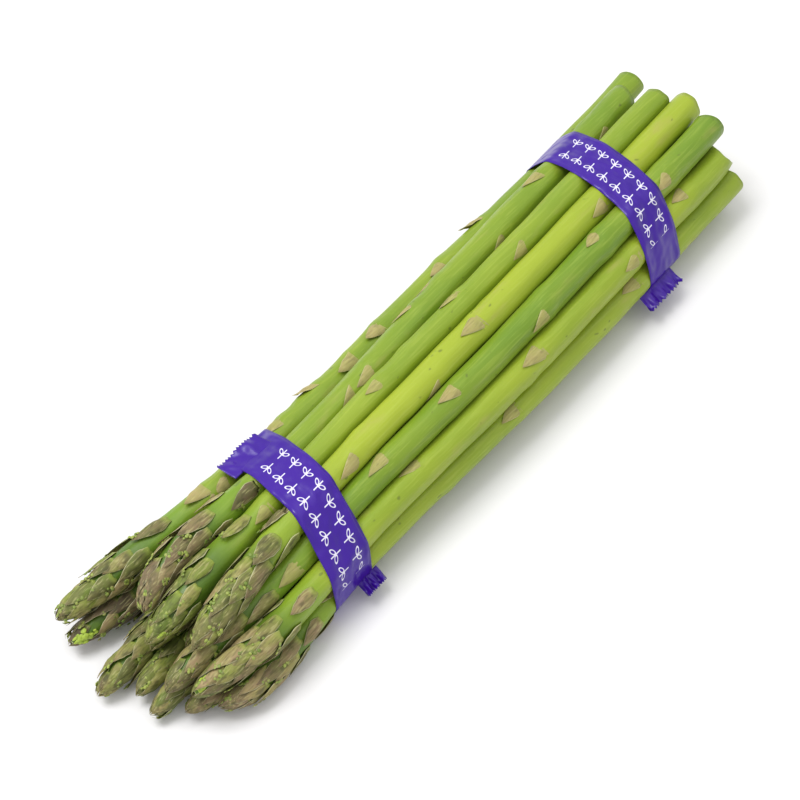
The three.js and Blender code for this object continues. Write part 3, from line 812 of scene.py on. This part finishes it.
def tapeMaterial():
    paint = {"deep": linear(46, 8, 130), "light": linear(62, 14, 152), "ink": linear(232, 230, 242)}
    sheet = Sheet("tapeFilm")
    patch = sheet.noise(sheet.objectPlace(), 90, 2)
    colour = sheet.mix(patch, paint["deep"], paint["light"])
    ink = sheet.math("MULTIPLY", printMask(sheet, *sheet.split(sheet.uv("Print"))), 0.9)
    colour = sheet.mix(ink, colour, paint["ink"])
    sheet.link(colour, sheet.shader.inputs["Base Color"])
    crease = sheet.noise(sheet.scaled(sheet.uv("Print"), (0.14, 0.2, 1)), 1.0, 1)
    sheet.bump(crease, 0.9, 0.002)
    sheet.set(Roughness=0.3, Specular_IOR_Level=0.42)
    return sheet.material


# Tape

def tautOutline(band, edge):
    # Outline of the tape in the slanting plane that starts at edge: the hull of the stalks there
    # and of the underside, softened, as directions, reaches and points
    turns = np.linspace(0, 2 * math.pi, tapeShape["directions"], endpoint=False) + 0.001
    reach = np.full(len(turns), -1e9)
    underside = []
    for spear in spears:
        x = edge
        for _ in range(5):
            x = edge + band["slant"] * spear["y"](x)
        radius = float(stalkRadius(spear, x - spear["start"])) + tapeShape["gap"]
        y, z = spear["y"](x), spear["z"](x)
        reach = np.maximum(reach, y * np.cos(turns) + z * np.sin(turns) + radius)
        if z < 2 * radius:
            underside.append(y)
    for y in (min(underside), max(underside)):
        reach = np.maximum(reach, y * np.cos(turns) + tapeShape["sag"] * np.sin(turns))
    window = 2 * tapeShape["softening"] + 1
    padded = np.concatenate([reach[-window:], reach, reach[:window]])
    for _ in range(2):
        padded = np.convolve(padded, np.ones(window) / window, mode="same")
    soft = padded[window:-window]
    soft += max(0.0, (reach - soft).max())
    slope = (np.roll(soft, -1) - np.roll(soft, 1)) / (2 * (turns[1] - turns[0]))
    points = np.column_stack([soft * np.cos(turns) - slope * np.sin(turns),
                              soft * np.sin(turns) + slope * np.cos(turns)])
    points[:, 1] = np.maximum(points[:, 1], tapeShape["lowest"])
    return turns, points


def evenly(points, count):
    closed = np.vstack([points, points[:1]])
    run = np.concatenate([[0], np.cumsum(np.hypot(*np.diff(closed, axis=0).T))])
    at = np.linspace(0, run[-1], count + 1)
    spots = np.column_stack([np.interp(at, run, closed[:, 0]), np.interp(at, run, closed[:, 1])])
    return spots, run[-1]


# Loose ends of the tape: the side of the ring they leave, which way they run from there and how
# far, where they start and end along X, and how deep and how many their creases are
looseEnds = {
    "band_tips": [
        {"side": 62, "way": -8, "reach": 7.5, "span": (-11, 5), "depth": 0.4, "folds": 1.5, "teeth": 0.7},
        {"side": 188, "way": 205, "reach": 4.8, "span": (2, 10), "depth": 1.2, "folds": 3, "teeth": 0.5},
    ],
    "band_butts": [
        {"side": 200, "way": 208, "reach": 6.0, "span": (-13, 3), "depth": 1.0, "folds": 3.3, "teeth": 0.8},
    ],
}


def growRing(bm, band):
    around, across = tapeShape["around"], tapeShape["across"]
    made = bmesh.ops.create_grid(
        bm, x_segments=around, y_segments=across, size=1.0, calc_uvs=True)
    faces = {face for vert in made["verts"] for face in vert.link_faces}
    rows = {}
    for row in range(across + 1):
        edge = band["middle"] + (row / across - 0.5) * band["width"]
        rows[row] = evenly(tautOutline(band, edge)[1], around)
    length = rows[across // 2][1]
    for vert in made["verts"]:
        row = round((vert.co.y + 1) / 2 * across)
        column = round((vert.co.x + 1) / 2 * around)
        y, z = rows[row][0][column]
        edge = band["middle"] + (row / across - 0.5) * band["width"]
        ripple = math.sin(column * 0.21) * math.sin(column * 0.083 + 1) * (2 * row / across - 1)
        ripple *= tapeShape["ripple"]
        vert.co = ((edge + band["slant"] * y + ripple) * mm, y * mm, z * mm)
    stretchPrint(bm, faces, length, band["width"], 0)


def stretchPrint(bm, faces, length, width, start):
    layer = bm.loops.layers.uv["Print"]
    for face in faces:
        for loop in face.loops:
            u, v = loop[layer].uv
            loop[layer].uv = (start + u * length, v * width)


def growLooseEnd(bm, band, end):
    segments = tapeShape["endGrid"]
    made = bmesh.ops.create_grid(
        bm, x_segments=segments[0], y_segments=segments[1], size=1.0, calc_uvs=True)
    faces = {face for vert in made["verts"] for face in vert.link_faces}
    side, way = math.radians(end["side"]), math.radians(end["way"])
    turns, outline = tautOutline(band, band["middle"])
    root = outline[np.argmin(np.abs(turns - side))]
    outward = np.array([math.cos(side), math.sin(side)])
    onward = np.array([math.cos(way), math.sin(way)])
    lift = np.array([-math.sin(way), math.cos(way)])
    low, high = end["span"]
    for vert in made["verts"]:
        far, place = (vert.co.x + 1) / 2, (vert.co.y + 1) / 2
        x = low + (high - low) * place
        tooth = abs((place * segments[1] / 2) % 1 - 0.5) * 2 * end["teeth"]
        ragged = max(0.0, far - tapeShape["toothFrom"]) / (1 - tapeShape["toothFrom"])
        run = end["reach"] * far - tooth * ragged
        crease = end["depth"] * far ** 0.7 * (
            math.sin(2 * math.pi * end["folds"] * place + 2.2 * far)
            + 0.4 * math.sin(5.3 * math.pi * end["folds"] * place - 5 * far))
        y, z = root - outward * tapeShape["rootDepth"] + onward * run + lift * crease
        x += band["middle"] + band["slant"] * root[0] + tapeShape["creaseDrift"] * crease
        vert.co = (x * mm, y * mm, max(z, tapeShape["lowestEnd"]) * mm)
    stretchPrint(bm, faces, end["reach"], band["width"], tapeShape["endPrint"])


def buildTape(name, material):
    band = bands[name]
    bm = bmesh.new()
    bm.loops.layers.uv.new("Print")
    growRing(bm, band)
    bmesh.ops.remove_doubles(bm, verts=bm.verts, dist=0.01 * mm)
    for end in looseEnds[name]:
        growLooseEnd(bm, band, end)
    bmesh.ops.recalc_face_normals(bm, faces=bm.faces)
    for face in bm.faces:
        face.smooth = True
    mesh = bpy.data.meshes.new(name + "_film")
    bm.to_mesh(mesh)
    bm.free()
    piece = addPiece(name + "_film", mesh, name, [material])
    wall = piece.modifiers.new("wall", "SOLIDIFY")
    wall.thickness = tapeShape["thickness"] * mm
    wall.offset = 1
    return piece


# The scene

def buildCamera():
    # 50 degrees above the surface, the bundle running 52 degrees off the picture's horizontal
    view = {"elevation": 50.0, "turn": 52.3, "distance": 0.698, "pixelsPerMm": 3.5,
            "target": Vector((-0.01161, 0.004993, 0.0117)), "frame": 800, "sensor": 36.0}
    tilt, turn = math.radians(view["elevation"]), math.radians(view["turn"])
    ahead = Vector((math.sin(turn) * math.cos(tilt), math.cos(turn) * math.cos(tilt), -math.sin(tilt)))
    data = bpy.data.cameras.new("camera")
    data.sensor_width = view["sensor"]
    data.lens = view["pixelsPerMm"] * view["distance"] / mm * view["sensor"] / view["frame"]
    camera = bpy.data.objects.new("camera", data)
    camera.location = view["target"] - ahead * view["distance"]
    camera.rotation_euler = ahead.to_track_quat("-Z", "Y").to_euler()
    bpy.context.scene.collection.objects.link(camera)
    bpy.context.scene.camera = camera


def buildStage():
    bm = bmesh.new()
    bmesh.ops.create_grid(bm, x_segments=1, y_segments=1, size=3.0)
    mesh = bpy.data.meshes.new("floor")
    bm.to_mesh(mesh)
    bm.free()
    floor = bpy.data.objects.new("floor", mesh)
    bpy.context.scene.collection.objects.link(floor)
    sheet = Sheet("floorPaper")
    sheet.set(Base_Color=linear(230, 229, 230), Roughness=0.8, Specular_IOR_Level=0.1)
    mesh.materials.append(sheet.material)


def buildLights():
    world = bpy.data.worlds.new("studio")
    world.use_nodes = True
    world.node_tree.nodes["Background"].inputs[0].default_value = (1.0, 1.0, 1.0, 1.0)
    world.node_tree.nodes["Background"].inputs[1].default_value = 0.78
    bpy.context.scene.world = world
    lamps = {
        "softbox": {"place": (-0.3, 0.4, 1.1), "size": 0.6, "power": 9.5},
        "overhead": {"place": (0.1, 0.0, 1.1), "size": 1.4, "power": 3},
    }
    for name, lamp in lamps.items():
        data = bpy.data.lights.new(name, "AREA")
        data.size = lamp["size"]
        data.energy = lamp["power"]
        light = bpy.data.objects.new(name, data)
        light.location = lamp["place"]
        light.rotation_euler = (-Vector(lamp["place"])).to_track_quat("-Z", "Y").to_euler()
        bpy.context.scene.collection.objects.link(light)
    bpy.context.scene.view_settings.view_transform = "Standard"


random.seed(7)
buildCamera()
buildStage()
buildLights()
say("camera, floor and lights")

skins = [
    stalkMaterial(), leafMaterial(), budMaterial(),
    fleshMaterial("cutFlesh",
                  pale=linear(222, 228, 166), deep=linear(190, 204, 120), fibre=linear(150, 160, 88)),
    fleshMaterial("tornFlesh",
                  pale=linear(176, 198, 76), deep=linear(150, 180, 44), fibre=linear(220, 222, 160)),
]
for spear in spears:
    planLeaves(spear)
for spear in spears:
    buildSpear(spear, skins)
say("spears")

film = tapeMaterial()
for name in bands:
    buildTape(name, film)
say("tape")
